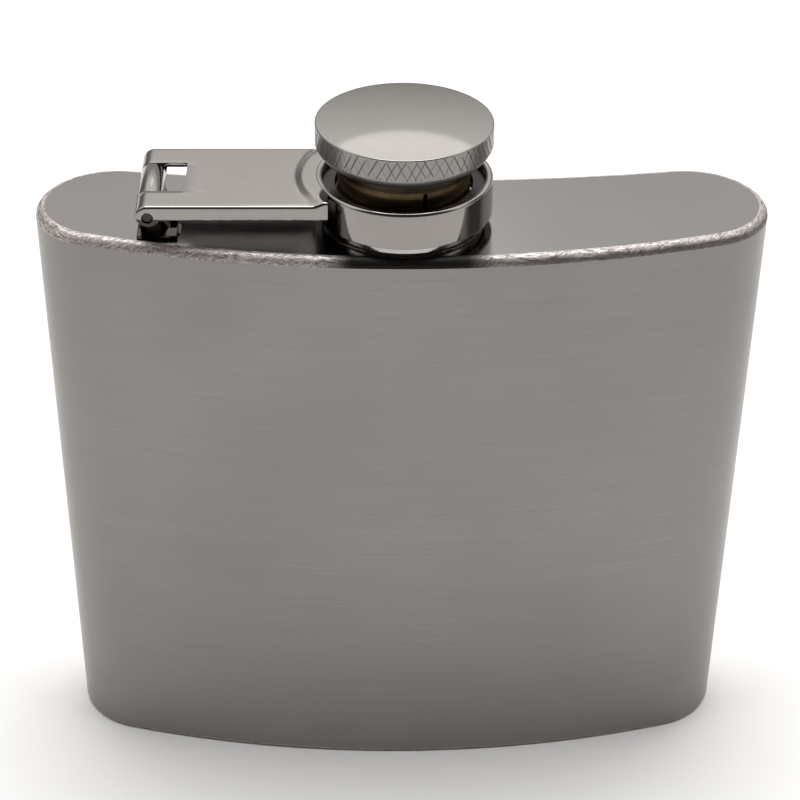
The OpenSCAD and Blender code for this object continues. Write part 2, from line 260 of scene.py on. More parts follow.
class Tree:
    """Short names for the few node patterns that the finishes share."""

    def __init__(self, nt):
        self.nt = nt
        self.co = nt.nodes.new("ShaderNodeTexCoord").outputs["Object"]

    def node(self, kind, **props):
        n = self.nt.nodes.new(kind)
        for k, v in props.items():
            setattr(n, k, v)
        return n

    def link(self, a, b):
        self.nt.links.new(a, b)
        return b

    def noise(self, scale, rot=(0, 0, 0), detail=3.0, rough=0.55, co=None):
        """Noise of that many cycles a unit on each axis, with the axes turned by rot first."""
        mp = self.node("ShaderNodeMapping", vector_type="TEXTURE")
        mp.inputs["Scale"].default_value = [1.0 / k for k in scale]
        mp.inputs["Rotation"].default_value = rot
        self.link(co or self.co, mp.inputs["Vector"])
        t = self.node("ShaderNodeTexNoise")
        t.inputs["Scale"].default_value = 1.0
        t.inputs["Detail"].default_value = detail
        t.inputs["Roughness"].default_value = rough
        self.link(mp.outputs["Vector"], t.inputs["Vector"])
        return t.outputs["Fac"]

    def remap(self, val, a, b, c, d, smooth=False):
        n = self.node("ShaderNodeMapRange")
        n.interpolation_type = "SMOOTHSTEP" if smooth else "LINEAR"
        for k, v in zip(("From Min", "From Max", "To Min", "To Max"), (a, b, c, d)):
            n.inputs[k].default_value = v
        self.link(val, n.inputs["Value"])
        return n.outputs["Result"]

    def math(self, op, a, b=0.0):
        n = self.node("ShaderNodeMath", operation=op)
        for s, v in zip(n.inputs, (a, b)):
            if isinstance(v, (int, float)):
                s.default_value = v
            else:
                self.link(v, s)
        return n.outputs[0]

    def mix(self, fac, a, b):
        n = self.node("ShaderNodeMix", data_type="RGBA")
        for s, v in ((n.inputs[0], fac), (n.inputs[6], a), (n.inputs[7], b)):
            if isinstance(v, (int, float)):
                s.default_value = v
            elif isinstance(v, (tuple, list)):
                s.default_value = (*v, 1.0)
            else:
                self.link(v, s)
        return n.outputs[2]

    def bump(self, height, dist_mm, normal=None):
        n = self.node("ShaderNodeBump")
        n.inputs["Strength"].default_value = 1.0
        n.inputs["Distance"].default_value = dist_mm * MM
        self.link(height, n.inputs["Height"])
        if normal is not None:
            self.link(normal, n.inputs["Normal"])
        return n.outputs["Normal"]


def metal(name, base, tint, rough, streak, streak_bump=0.003, blotch=70.0, blotch_mix=0.5, scratch=0.0,
          scratch_scale=(40, 900, 900), wear=0.0, dark=(0.1, 0.09, 0.08), fine=9000.0, grain_mix=0.16):
    """Bare metal: streaked brushing, slow colour blotches, sparse scratches and brighter worn edges."""
    m, nt, b = new_mat(name)
    t = Tree(nt)
    b.inputs["Metallic"].default_value = 1.0
    lines = t.noise(streak, detail=4.0, rough=0.65)
    cloud = t.noise((blotch,) * 3, detail=2.0)
    colour = t.mix(t.remap(cloud, 0.3, 0.7, 0.0, blotch_mix), base, tint)
    colour = t.mix(t.remap(lines, 0.35, 0.65, 0.0, grain_mix), colour, tuple(c * 0.72 for c in base))
    mid = (rough[0] + rough[1]) / 2
    satin = t.remap(lines, 0.3, 0.7, rough[0] - mid, rough[1] - mid)
    value = t.math("ADD", satin, t.remap(cloud, 0.3, 0.7, mid * 0.9, mid * 1.1))
    normal = t.bump(lines, streak_bump)
    if scratch:
        s = t.noise(scratch_scale, (0.2, 0.5, 0.7), detail=1.0)
        mark = t.remap(s, 0.70, 0.76, 0.0, scratch, smooth=True)
        colour = t.mix(mark, colour, dark)
        value = t.math("ADD", value, t.math("MULTIPLY", mark, 0.15))
    if wear:
        geo = t.node("ShaderNodeNewGeometry")
        edge = t.remap(geo.outputs["Pointiness"], 0.505, 0.56, 0.0, wear, smooth=True)
        colour = t.mix(edge, colour, tuple(min(1.0, c * 1.25) for c in base))
    grain = t.noise((fine,) * 3, detail=1.0)
    normal = t.bump(grain, 0.0006, normal=normal)
    t.link(colour, b.inputs["Base Color"])
    t.link(value, b.inputs["Roughness"])
    t.link(normal, b.inputs["Normal"])
    return m


BODY_STEEL = metal(
    "brushed_body_steel", (0.254, 0.240, 0.228), (0.236, 0.223, 0.212), (0.27, 0.38), (45, 45, 4200),
    streak_bump=0.0045, blotch=38, blotch_mix=0.8, scratch=0.035, scratch_scale=(60, 60, 2600))
PLATE_STEEL = metal(
    "satin_plate_steel", (0.218, 0.211, 0.207), (0.198, 0.192, 0.188), (0.12, 0.17), (70, 2600, 70),
    streak_bump=0.0004, blotch=60, scratch=0.06, scratch_scale=(900, 60, 60), grain_mix=0.07)
ARM_STEEL = metal(
    "polished_arm_steel_painted_shade", (0.297, 0.278, 0.262), (0.276, 0.259, 0.246), (0.05, 0.10), (70, 2200, 2200),
    streak_bump=0.0003, blotch=120, scratch=0.1, scratch_scale=(120, 1800, 1800), wear=0.25)
CAP_STEEL = metal(
    "satin_cap_steel", (0.278, 0.265, 0.25), (0.258, 0.244, 0.23), (0.035, 0.06), (1500, 1500, 60),
    streak_bump=0.0002, blotch=150)
NECK_STEEL = metal(
    "turned_neck_steel", (0.42, 0.40, 0.38), (0.37, 0.35, 0.335), (0.10, 0.18), (120, 120, 5200),
    streak_bump=0.0015, blotch=200, scratch=0.1, scratch_scale=(80, 80, 3200), wear=0.4)
PIN_STEEL = metal(
    "dark_pin_steel", (0.06, 0.052, 0.047), (0.04, 0.035, 0.032), (0.18, 0.34), (2400, 2400, 2400),
    streak_bump=0.002, blotch=600, scratch=0.2, wear=0.4)
# Painted shade: the ring inside the collar and the snap ring are coloured nearly black.
RING_STEEL = metal(
    "dark_ring_steel_painted_shade", (0.022, 0.018, 0.014), (0.016, 0.013, 0.010), (0.2, 0.3), (160, 160, 5200),
    streak_bump=0.0003, blotch=300, scratch=0.1, wear=0.2)
BRASS = metal(
    "sleeve_brass", (0.92, 0.66, 0.36), (0.22, 0.14, 0.07), (0.24, 0.38), (160, 160, 5200),
    streak_bump=0.0012, blotch=220, blotch_mix=0.9, scratch=0.2, scratch_scale=(80, 80, 2800),
    dark=(0.05, 0.03, 0.02), wear=0.4)


def paint_shade(m, low, high, colour, amount=0.95, radial=False):
    """Paints shade on a metal from low to high (mm), by height or by distance from the neck's axis."""
    nt = m.node_tree
    t = Tree(nt)
    b = next(n for n in nt.nodes if n.type == "BSDF_PRINCIPLED")
    old = b.inputs["Base Color"].links[0].from_socket
    sep = t.node("ShaderNodeSeparateXYZ")
    t.link(t.co, sep.inputs[0])
    along = sep.outputs["Z"]
    if radial:
        x_squared = t.math("POWER", sep.outputs["X"], 2.0)
        along = t.math("SQRT", t.math("ADD", x_squared, t.math("POWER", sep.outputs["Y"], 2.0)))
    ragged = t.math("ADD", along, t.math("MULTIPLY", t.noise((900,) * 3), 0.0 if radial else 0.0003))
    painted_shade = t.remap(ragged, low * MM, high * MM, 0.0, amount, smooth=True)
    t.link(t.mix(painted_shade, old, colour), b.inputs["Base Color"])


def cut_material():
    """The cap's steel with a satin rim and painted shade in the knurl cuts, which the mesh marks in its "cut"
    attribute.
    """
    m = CAP_STEEL.copy()
    m.name = "knurled_cap_steel_painted_cut_shade"
    nt = m.node_tree
    t = Tree(nt)
    b = next(n for n in nt.nodes if n.type == "BSDF_PRINCIPLED")
    at = t.node("ShaderNodeAttribute", attribute_name="cut").outputs["Fac"]
    old = b.inputs["Base Color"].links[0].from_socket
    # Painted shade: the knurl cuts are coloured dark by their depth.
    colour = t.mix(t.remap(at, 0.05, 0.6, 0.0, 0.88, smooth=True), old, (0.06, 0.052, 0.045))
    t.link(colour, b.inputs["Base Color"])
    sep = t.node("ShaderNodeSeparateXYZ")
    t.link(t.co, sep.inputs[0])
    satin = t.remap(sep.outputs["Z"], (RIM_Z1 + 0.14) * MM, (RIM_Z1 + 0.02) * MM, 0.0, 1.0)
    rough = t.math("ADD", b.inputs["Roughness"].links[0].from_socket, t.math("MULTIPLY", satin, 0.26))
    t.link(t.math("ADD", rough, t.math("MULTIPLY", at, 0.2)), b.inputs["Roughness"])
    return m


def weld_material():
    """Weld ground by hand: slanting strokes both ways, specks, painted shade under the collar, and painted
    shade on the lower half where it faces down.
    """
    m, nt, b = new_mat("ground_weld_painted_shade")
    t = Tree(nt)
    b.inputs["Metallic"].default_value = 0.6
    uv = t.node("ShaderNodeUVMap", uv_map="seam").outputs["UV"]
    slant = t.noise((0.9, 4.6, 1.0), (0, 0, math.radians(32)), detail=4.0, rough=0.7, co=uv)
    cross = t.noise((0.7, 5.2, 1.0), (0, 0, math.radians(-8)), detail=3.0, rough=0.7, co=uv)
    speck = t.noise((3.2, 3.2, 1.0), detail=3.0, rough=0.8, co=uv)
    patch = t.noise((110,) * 3, detail=2.0)
    side = t.remap(patch, 0.42, 0.58, 0.0, 1.0)
    crossed = t.math("MULTIPLY", cross, t.math("SUBTRACT", 1.0, side))
    lines = t.math("ADD", t.math("MULTIPLY", slant, side), crossed)
    mixed = t.math("ADD", t.math("MULTIPLY", lines, 0.68), t.math("MULTIPLY", speck, 0.32))
    colour = t.mix(t.remap(mixed, 0.43, 0.57, 0.0, 1.0), (0.15, 0.13, 0.122), (0.72, 0.655, 0.63))
    colour = t.mix(t.remap(patch, 0.45, 0.62, 0.0, 0.3), colour, (0.30, 0.27, 0.26))
    sep, facing = t.node("ShaderNodeSeparateXYZ"), t.node("ShaderNodeSeparateXYZ")
    t.link(t.co, sep.inputs[0])
    t.link(t.node("ShaderNodeNewGeometry").outputs["True Normal"], facing.inputs[0])
    upper = t.remap(sep.outputs["Z"], 40 * MM, 60 * MM, 0.0, 1.0)
    off = t.math("ABSOLUTE", t.math("SUBTRACT", sep.outputs["X"], 0.6 * MM))
    # Painted shade: the weld turns nearly black under the collar, in the upper seam near x = 0.
    collar_shade = t.math("MULTIPLY", upper, t.remap(off, 12 * MM, 7 * MM, 0.0, 0.99, smooth=True))
    colour = t.mix(collar_shade, colour, (0.006, 0.005, 0.004))
    # Painted shade: the down-facing lower half of the top seam, right of the collar, is darkened.
    lower_half_shade = t.math("MULTIPLY", t.remap(facing.outputs["Z"], 0.72, 0.45, 0.0, 0.7, smooth=True),
                      t.remap(sep.outputs["X"], 6 * MM, 16 * MM, 0.0, 1.0))
    colour = t.mix(t.math("MULTIPLY", lower_half_shade, upper), colour, (0.07, 0.06, 0.055))
    t.link(colour, b.inputs["Base Color"])
    t.link(t.remap(mixed, 0.4, 0.6, 0.58, 0.38), b.inputs["Roughness"])
    t.link(t.bump(mixed, 0.05), b.inputs["Normal"])
    return m


def seal_material():
    """Pale plastic of the sealing disc."""
    m, nt, b = new_mat("seal_plastic")
    t = Tree(nt)
    cloud = t.noise((300,) * 3)
    grain = t.noise((4000,) * 3)
    t.link(t.mix(cloud, (0.78, 0.77, 0.73), (0.70, 0.69, 0.65)), b.inputs["Base Color"])
    t.link(t.remap(grain, 0.3, 0.7, 0.42, 0.6), b.inputs["Roughness"])
    t.link(t.bump(grain, 0.01), b.inputs["Normal"])
    return m


# Painted shade: the sleeve's upper part, under the cap head, is coloured nearly black.
paint_shade(BRASS, 87.3, 88.1, (0.012, 0.010, 0.008))
CAP_STEEL_CUT = cut_material()
# Painted shade: the bracket's knuckle and web darken towards the bottom, below 85.2 mm.
BRACKET_STEEL = ARM_STEEL.copy()
BRACKET_STEEL.name = "bracket_steel_painted_shade"
paint_shade(BRACKET_STEEL, 85.2, 83.6, (0.055, 0.047, 0.042), 0.95)
# Painted shade: the collar's bore is coloured nearly black.
COLLAR_STEEL = ARM_STEEL.copy()
COLLAR_STEEL.name = "collar_steel_painted_bore_shade"
paint_shade(COLLAR_STEEL, COLLAR_BORE + 0.14, COLLAR_BORE + 0.05, (0.012, 0.010, 0.008), 0.99, radial=True)
# Painted shade: a dark ragged line along the bottom edge of the arm's flanges.
paint_shade(ARM_STEEL, FLANGE_Z0 + 0.30, FLANGE_Z0 + 0.20, (0.035, 0.03, 0.027), 0.9)
WELD_PLAIN = metal(
    "bead_weld_steel", (0.34, 0.31, 0.30), (0.24, 0.21, 0.20), (0.3, 0.5), (1500, 1500, 1500),
    streak_bump=0.02, blotch=900, scratch=0.2)
WELD = weld_material()
SEAL = seal_material()


# ---------------------------------------------------------------- body
def body_wall():
    """Wrapped sheet: outer face up, inner face down."""
    zs = np.linspace(WALL_Z0, WALL_Z1, 34)
    rings = [ring(section(z), 0, z) for z in zs]
    rings += [ring(section(z), WALL_T, z) for z in np.linspace(WALL_Z1, WALL_Z0, 8)]
    v, f = tube(rings)
    make("body_wall_shell", v, f, "flask", BODY_STEEL, ["body_wall"])


def seam(name, rows, nodes, seed, depth):
    """Ground weld from rows of inset, height, section and share of the dents, which are seeded."""
    dense = 5
    rings = []
    for inset, z, sec, share in rows:
        closed = np.concatenate([sec, sec[:1]])
        s = np.arange(N_OUT * dense) / dense
        fine = np.stack([np.interp(s, np.arange(N_OUT + 1), closed[:, k]) for k in range(4)], 1)
        fine[:, 2:] /= np.linalg.norm(fine[:, 2:], axis=1)[:, None]
        p = ring(fine, inset, z)
        w = wave(p * (1, 1, 1.6), seed, 9, 9.0) * 0.35 + wave(p * (1, 1, 2.2), seed + 1, 14, 1.6) * 0.65
        dent = depth * share * np.clip(0.5 + 0.35 * w, 0, 1)
        rings.append(ring(fine, inset + dent, z))
    v, f = tube(rings)
    ob = make(name, v, f, "flask", WELD, nodes, sharp=50, weld=0)
    me = ob.data
    layer = me.uv_layers.new(name="seam")
    n = N_OUT * dense
    length = np.concatenate([[0], np.cumsum(np.linalg.norm(np.diff(rings[0][:, :2], axis=0), axis=1))])
    idx = np.zeros(len(me.loops), int)
    me.loops.foreach_get("vertex_index", idx)
    j, i = idx // n, idx % n
    across = np.linspace(0, 2.0, len(rings))
    uvs = np.stack([length[i], across[j]], 1)
    layer.data.foreach_set("uv", uvs.astype(np.float32).ravel())


def seams():
    """The rounded welds along the top and base edges."""
    top = section(WALL_Z1)
    rows = []
    for k in range(11):
        a = math.radians(90 * k / 10)
        share = math.sin(2 * a) * 0.8 + 0.2 if 0 < k < 10 else 0.0
        rows.append((TOP_R * (1 - math.cos(a)), WALL_Z1 + TOP_R * math.sin(a), top, share))
    rows.append((TOP_R + 0.01, WALL_Z1, top, 0.0))
    seam("top_seam_weld", rows, ["top_seam"], 11, 0.09)
    low = section(0)
    rows = [(WALL_T + BASE_R, WALL_Z0, low, 0.0), (WALL_T + BASE_R, 0.0, low, 0.0)]
    for k in range(7):
        a = math.radians(90 - 90 * k / 6)
        share = 0.6 if 0 < k < 6 else 0.0
        rows.append((BASE_R * (1 - math.cos(a)), BASE_R * (1 - math.sin(a)), section(WALL_Z0 * k / 6), share))
    seam("base_seam_weld", rows, ["base_seam"], 23, 0.04)


def morph(outer, inner_r, z_top, z_bottom, lift=None, steps=14):
    """Plate from an outline to a round hole (or to the middle), with its rim."""
    ang = np.arctan2(outer[:, 1], outer[:, 0])
    inner = np.stack([inner_r * np.cos(ang), inner_r * np.sin(ang)], 1)
    loops = []
    for k in range(steps + 1):
        t = (k / steps) ** 0.8
        p = outer[:, :2] * (1 - t) + inner * t
        dz = lift(t) if lift else 0.0
        loops.append(np.column_stack([p, np.full(len(p), z_top + dz)]))
    for t in (1.0, 0.0):
        p = outer[:, :2] * (1 - t) + inner * t
        loops.append(np.column_stack([p, np.full(len(p), z_bottom)]))
    return np.concatenate(loops), grid_faces(len(loops), len(outer), wrap_rows=True)


def plates():
    """Top plate with the neck hole, and base plate."""
    v, f = morph(ring(section(WALL_Z1), TOP_R - 0.015, 0), NECK_R + 0.02, BODY_H, BODY_H - PLATE_T)
    make("top_plate_sheet", v, f, "flask", PLATE_STEEL, ["top_plate"])
    v, f = morph(ring(section(0), WALL_T + BASE_R - 0.015, 0), 0.02, PLATE_T, 0.0)
    make("base_plate_sheet", v, f, "flask", BODY_STEEL, ["base_plate"], weld=0.03)


# ---------------------------------------------------------------- neck
def ridge(root, crest, z0, turns=TURNS, per_turn=120):
    """Thread ridge from radius root to crest, fading at both ends."""
    n = int(turns * per_turn)
    hr, hc = THREAD_FOOT / 2, THREAD_CREST / 2
    verts, faces = [], []
    for i in range(n + 1):
        a = 2 * math.pi * turns * i / n
        z = z0 + PITCH * turns * i / n
        f = min(1, 6 * i / n + 0.12, 6 * (n - i) / n + 0.12)
        c = root + (crest - root) * f
        m = root + (c - root) * 0.85
        shape = ((root, -hr), (m, -hc - 0.06), (c, -hc * 0.55), (c, hc * 0.55), (m, hc + 0.06), (root, hr))
        for r, dz in shape:
            verts.append((r * math.cos(a), r * math.sin(a), z + dz))
    k = 6
    for i in range(n):
        for j in range(k):
            a, b = k * i + j, k * i + (j + 1) % k
            faces.append((a, b, b + k, a + k))
    faces.append(tuple(range(k)))
    faces.append(tuple(k * n + j for j in range(k)))
    return verts, faces


def neck():
    """Neck with its foot ring, its thread and the bead of weld round the foot."""
    floor_t, lip, wall_in = 0.4, BODY_H + NECK_H, FOOT_R - FOOT_WALL
    profile = [
        (MOUTH_R, BODY_H - PLATE_T), (NECK_R, BODY_H - PLATE_T), (NECK_R, BODY_H), (FOOT_R, BODY_H),
        (FOOT_R, BODY_H + FOOT_H), (wall_in, BODY_H + FOOT_H), (wall_in, BODY_H + floor_t),
        (NECK_R, BODY_H + floor_t), (NECK_R, lip), (MOUTH_R, lip)]
    cuts = {4: 0.18, 5: 0.15, 6: 0.15, 7: 0.2, 8: 0.25, 9: 0.25, 0: 0.1}
    v, f = lathe(eased(profile, cuts, 5))
    make("neck_tube", v, f, "flask", NECK_STEEL, ["neck"])
    v, f = ridge(NECK_R + HAIR, NECK_R + THREAD_H, THREAD_Z0)
    make("neck_thread_ridge", v, f, "flask", NECK_STEEL, ["neck_thread"], sharp=60)
    r0, z0, bulge = FOOT_R + HAIR, BODY_H + HAIR, BEAD - 0.02
    prof = [(r0, z0)]
    for k in range(7):
        a = math.radians(90 * k / 6)
        prof.append((r0 + bulge * math.cos(a) ** 1.4, z0 + bulge * math.sin(a) ** 1.4))
    v, f = lathe(prof, 320)
    v = np.array(v)
    shrink = 1 - 0.25 * np.clip(0.5 + 0.4 * wave(v, 31, 12, 2.0), 0, 1)
    r = np.hypot(v[:, 0], v[:, 1])
    new_r = r0 + (r - r0) * shrink
    v[:, 0] *= new_r / r
    v[:, 1] *= new_r / r
    make("neck_bead_weld", v, f, "flask", PIN_STEEL, ["neck_bead"], sharp=60)


# ---------------------------------------------------------------- arm and collar
BEND = 0.38
FLARE_R, FLARE_IN, FLARE_H = 14.0, 12.75, 0.52


def flare(x, y):
    """How far the sheet rises towards the collar."""
    t = np.clip((FLARE_R - np.hypot(x, y)) / (FLARE_R - FLARE_IN), 0, 1)
    w = 0.2
    rise = np.where(t < w, t * t / (2 * w), np.where(t < 1 - w, t - w / 2, 1 - w - (1 - t) ** 2 / (2 * w)))
    return FLARE_H * rise / (1 - w)


def channel():
    """The arm's outer and inner skins as equal point lists: flat top, rolled sides, notch."""
    low = KNUCKLE_R - BEND - 0.08
    arc = [math.radians(a) for a in np.linspace(180, 90, 9)]
    outer = [(-HALF_ARM, low)]
    outer += [(-HALF_ARM + BEND * (1 + math.cos(a)), KNUCKLE_R - BEND + BEND * math.sin(a)) for a in arc]
    c = ARM_T + 0.04
    inner = [(-HALF_ARM + ARM_T, low - 0.1)]
    inner += [(-HALF_ARM + c + 0.04 * math.cos(a), KNUCKLE_R - c + 0.04 * math.sin(a)) for a in arc]
    flat = [-7.4, -6.9, -6.0, -5.37, -4.6]
    half = flat + list(np.linspace(-NOTCH_W / 2, 0, 6))[:-1]
    mid = half + [0.0] + [-y for y in reversed(half)]

    def both(side, h):
        return np.array(side + [(y, h) for y in mid] + [(-y, k) for y, k in reversed(side)])

    sec_out, sec_in = both(outer, KNUCKLE_R), both(inner, KNUCKLE_R - ARM_T)
    ys = sec_out[:, 0]
    n, first = len(ys), len(outer)
    under_collar_r, flat_x, roll_turn = 11.05, -17.0, 250
    x_end = -np.maximum(ARM_END, np.sqrt(np.maximum(under_collar_r ** 2 - ys ** 2, 0)))
    notch_x = -REACH + NOTCH_LEN
    xs = [x_end + (flat_x - x_end) * t for t in np.linspace(0, 1, 34)]
    xs += [np.full(n, x) for x in np.linspace(flat_x, notch_x, 8)[1:]]
    n_notch = len(xs)
    xs += [np.full(n, x) for x in np.linspace(notch_x, -REACH, 6)[1:]]
    n_straight = len(xs)
    roll = np.radians(np.linspace(0, roll_turn, 51)[1:])
    skins = []
    for sec in (sec_out, sec_in):
        y, h = sec[:, 0], sec[:, 1]
        rows = [np.stack([x, y, PIN_Z + h + flare(x, ys)], 1) for x in xs]
        rows += [np.stack([-REACH - h * math.sin(a), y, PIN_Z + h * math.cos(a)], 1) for a in roll]
        skins.append(np.concatenate(rows))
    quarter = n_straight + int(np.searchsorted(roll, math.radians(100)))
    faces = []
    for j in range(n_straight + len(roll) - 1):
        for i in range(n - 1):
            notch = max(abs(ys[i]), abs(ys[i + 1])) < NOTCH_W / 2 + 1e-6 and j >= n_notch - 1
            ended = (i < first or i >= n - 1 - first) and j >= quarter - 1
            if not notch and not ended:
                faces.append((j * n + i, j * n + i + 1, (j + 1) * n + i + 1, (j + 1) * n + i))
    edge = [(skins[0][j * n][0], skins[0][j * n][2]) for j in range(quarter)]
    return skins, faces, edge


def flange_face(edge, side):
    """Flat side of the arm below the bend, with the ear round the pin and the pin hole."""
    lobe, hole, count = 0.98, PIN_R + 0.05, 36
    pts = list(edge)
    a0 = math.atan2(edge[-1][1] - PIN_Z, edge[-1][0] + REACH) % (2 * math.pi)
    r0 = math.hypot(edge[-1][0] + REACH, edge[-1][1] - PIN_Z)
    for k in range(1, 40):
        a = a0 + (math.radians(345) - a0) * k / 39
        r = r0 + (lobe - r0) * min(1.0, k / 12)
        z = PIN_Z + r * math.sin(a)
        if a > math.radians(270) and z > FLANGE_Z0:
            break
        pts.append((-REACH + r * math.cos(a), z))
    pts += [(x, FLANGE_Z0) for x in np.linspace(pts[-1][0] + 0.3, -ARM_END - 0.25, 16)]
    pts += [(-ARM_END - 0.08, FLANGE_Z0 + 0.06), (-ARM_END, FLANGE_Z0 + 0.25)]
    around = np.linspace(0, 2 * math.pi, count, endpoint=False)
    ring_pts = [(-REACH + hole * math.cos(a), PIN_Z + hole * math.sin(a)) for a in around]
    n = len(pts)
    links = [(i, (i + 1) % n) for i in range(n)] + [(n + i, n + (i + 1) % count) for i in range(count)]
    co, _, tris, *_ = delaunay_2d_cdt([Vector(q) for q in pts + ring_pts], links, [], 2, 1e-6)
    co = np.array([tuple(q) for q in co])
    faces = []
    for tri in tris:
        mid = co[list(tri)].mean(0)
        if math.hypot(mid[0] + REACH, mid[1] - PIN_Z) > hole * 0.97:
            faces.append(tuple(tri))
    flat = np.full(len(co), side * HALF_ARM)
    outer = np.stack([co[:, 0], flat, co[:, 1]], 1)
    return outer, np.stack([co[:, 0], flat - side * ARM_T, co[:, 1]], 1), faces


def two_skins(parts):
    """Closed sheet from parts of outer points, inner points and faces: joined, with open edges walled."""
    key, out, inn, faces = {}, [], [], []
    for p, q, fs in parts:
        index = []
        for a, b in zip(p, q):
            k = tuple(np.round(a, 3))
            if k not in key:
                key[k] = len(out)
                out.append(a)
                inn.append(b)
            index.append(key[k])
        faces += [f for f in ([index[i] for i in face] for face in fs) if len(set(f)) == len(f)]
    me = bpy.data.meshes.new("skin")
    me.from_pydata([tuple(v) for v in out], [], faces)
    bm = bmesh.new()
    bm.from_mesh(me)
    bmesh.ops.recalc_face_normals(bm, faces=bm.faces)
    bm.faces.ensure_lookup_table()
    faces = [[v.index for v in f.verts] for f in bm.faces]
    edge = [tuple(v.index for v in e.verts) for e in bm.edges if len(e.link_faces) == 1]
    bm.free()
    bpy.data.meshes.remove(me)
    n = len(out)
    walls = [(a, b, b + n, a + n) for a, b in edge]
    return np.concatenate([out, inn]), faces + [[i + n for i in reversed(f)] for f in faces] + walls


def retainer_arm():
    """The arm's sheet with eased edges, then its collar."""
    skins, faces, edge = channel()
    v, f = two_skins([(skins[0], skins[1], faces), flange_face(edge, -1), flange_face(edge, 1)])
    ob = make("arm_sheet", v, f, "arm", ARM_STEEL, ["retainer_arm"], weld=0.001)
    bev = ob.modifiers.new("edge", "BEVEL")
    bev.width = 0.05 * MM
    bev.segments = 2
    bev.limit_method = "ANGLE"
    bev.angle_limit = math.radians(55)
    bake_modifiers(ob, 40)
    collar()


def bake_modifiers(ob, sharp):
    """Applies the modifiers and marks edges past that angle as sharp."""
    dg = bpy.context.evaluated_depsgraph_get()
    me = bpy.data.meshes.new_from_object(ob.evaluated_get(dg))
    ob.modifiers.clear()
    ob.data = me
    for p in me.polygons:
        p.use_smooth = True
    me.set_sharp_from_angle(angle=math.radians(sharp))


def collar():
    """Turned collar with a round rim, and the ring inside it."""
    half, mid = COLLAR_WALL / 2, COLLAR_R - COLLAR_WALL / 2
    z0 = COLLAR_Z1 - COLLAR_H
    low = [(COLLAR_BORE, z0 + 1.5), (COLLAR_BORE, z0), (COLLAR_R, z0), (COLLAR_R, z0 + 1.5)]
    low = eased(low, {1: 0.14, 2: 0.14}, 4, closed=False)
    rim = []
    for k in range(17):
        a = math.pi * k / 16
        rim.append((mid + half * math.cos(a), COLLAR_Z1 - half * (1 - math.sin(a))))
    prof = low + [(COLLAR_R, COLLAR_Z1 - half - 0.05)] + rim + [(COLLAR_BORE, COLLAR_Z1 - half - 0.05)]
    v, f = lathe(prof, 320)
    make("arm_collar", v, f, "arm", COLLAR_STEEL)
    ring_low, ring_out = RING_Z1 - RING_T, COLLAR_BORE - HAIR
    corners = [(RING_BORE, ring_low), (ring_out, ring_low), (ring_out, RING_Z1), (RING_BORE, RING_Z1)]
    v, f = lathe(eased(corners, 0.1, 3), 256)
    make("collar_inner_ring", v, f, "arm", RING_STEEL, ["inner_ring"])


# ---------------------------------------------------------------- hinge bracket and pin
def bracket():
    """Bent strip round the pin on two feet, their beads of weld, and the pin."""
    strip, half = 0.55, NOTCH_W / 2 - 0.15
    left, right = -REACH - 1.7, -REACH + 3.4
    web = PIN_Z - KNUCKLE_R - 0.25
    hole = PIN_R + 0.025
    roll = []
    for a in np.linspace(math.radians(-120), math.radians(218), 60):
        roll.append((-REACH + KNUCKLE_R * math.cos(a), PIN_Z + KNUCKLE_R * math.sin(a)))
    for a in np.linspace(math.radians(218), math.radians(-120), 60):
        roll.append((-REACH + hole * math.cos(a), PIN_Z + hole * math.sin(a)))
    knuckle = extruded(roll, -half, half, 0.07)
    mid, top = -REACH, BODY_H + strip
    foot = [
        (left, BODY_H), (left, top), (mid - 1.35, top + 0.15), (mid - 1.35, PIN_Z - 0.9),
        (mid - 0.8, PIN_Z - 1.1), (mid - 0.75, web - strip), (mid + 0.8, web - strip),
        (mid + 0.85, PIN_Z - 1.15), (mid + 1.4, PIN_Z - 0.95), (mid + 1.5, web), (mid + 2.2, top),
        (right, top), (right, BODY_H), (mid + 1.4, BODY_H), (mid + 0.9, web - strip - 0.35),
        (mid - 0.8, web - strip - 0.35), (mid - 1.0, BODY_H)]
    web_part = extruded(eased(foot, 0.16, 3, hold=0.0), -half, half, 0.07)
    pads = []
    for x0, x1 in ((left, -REACH - 0.95), (-REACH + 1.35, right)):
        corners = [(x0, BODY_H + HAIR), (x1, BODY_H + HAIR), (x1, top), (x0, top)]
        pads.append(extruded(eased(corners, 0.12, 3), -FOOT_W / 2, FOOT_W / 2, 0.12))
    v, f = join_parts(knuckle, web_part, *pads)
    make("bracket_strip", v, f, "flask", BRACKET_STEEL, ["hinge_bracket"], sharp=40)
    beads = []
    for s in (-1, 1):
        y0 = s * (FOOT_W / 2 - 2.6) - 1.2
        prof = [
            (right + HAIR, BODY_H + HAIR), (right + 0.34, BODY_H + HAIR), (right + 0.27, BODY_H + 0.16),
            (right + 0.15, BODY_H + 0.28), (right + HAIR, BODY_H + 0.33)]
        beads.append(extruded(prof, y0, y0 + 2.4, 0.05))
    v, f = join_parts(*beads)
    make("bracket_bead_welds", v, f, "flask", WELD_PLAIN, ["bracket_beads"], sharp=40)
    end = HALF_ARM - 0.2
    prof = eased([(0.0, -end), (PIN_R, -end), (PIN_R, end), (0.0, end)], {1: 0.16, 2: 0.16}, 4, closed=False)
    v, f = lathe(prof, 64)
    v = [(-REACH + x, z, PIN_Z + y) for x, y, z in v]
    make("hinge_pin_rod", v, f, "flask", PIN_STEEL, ["hinge_pin"])


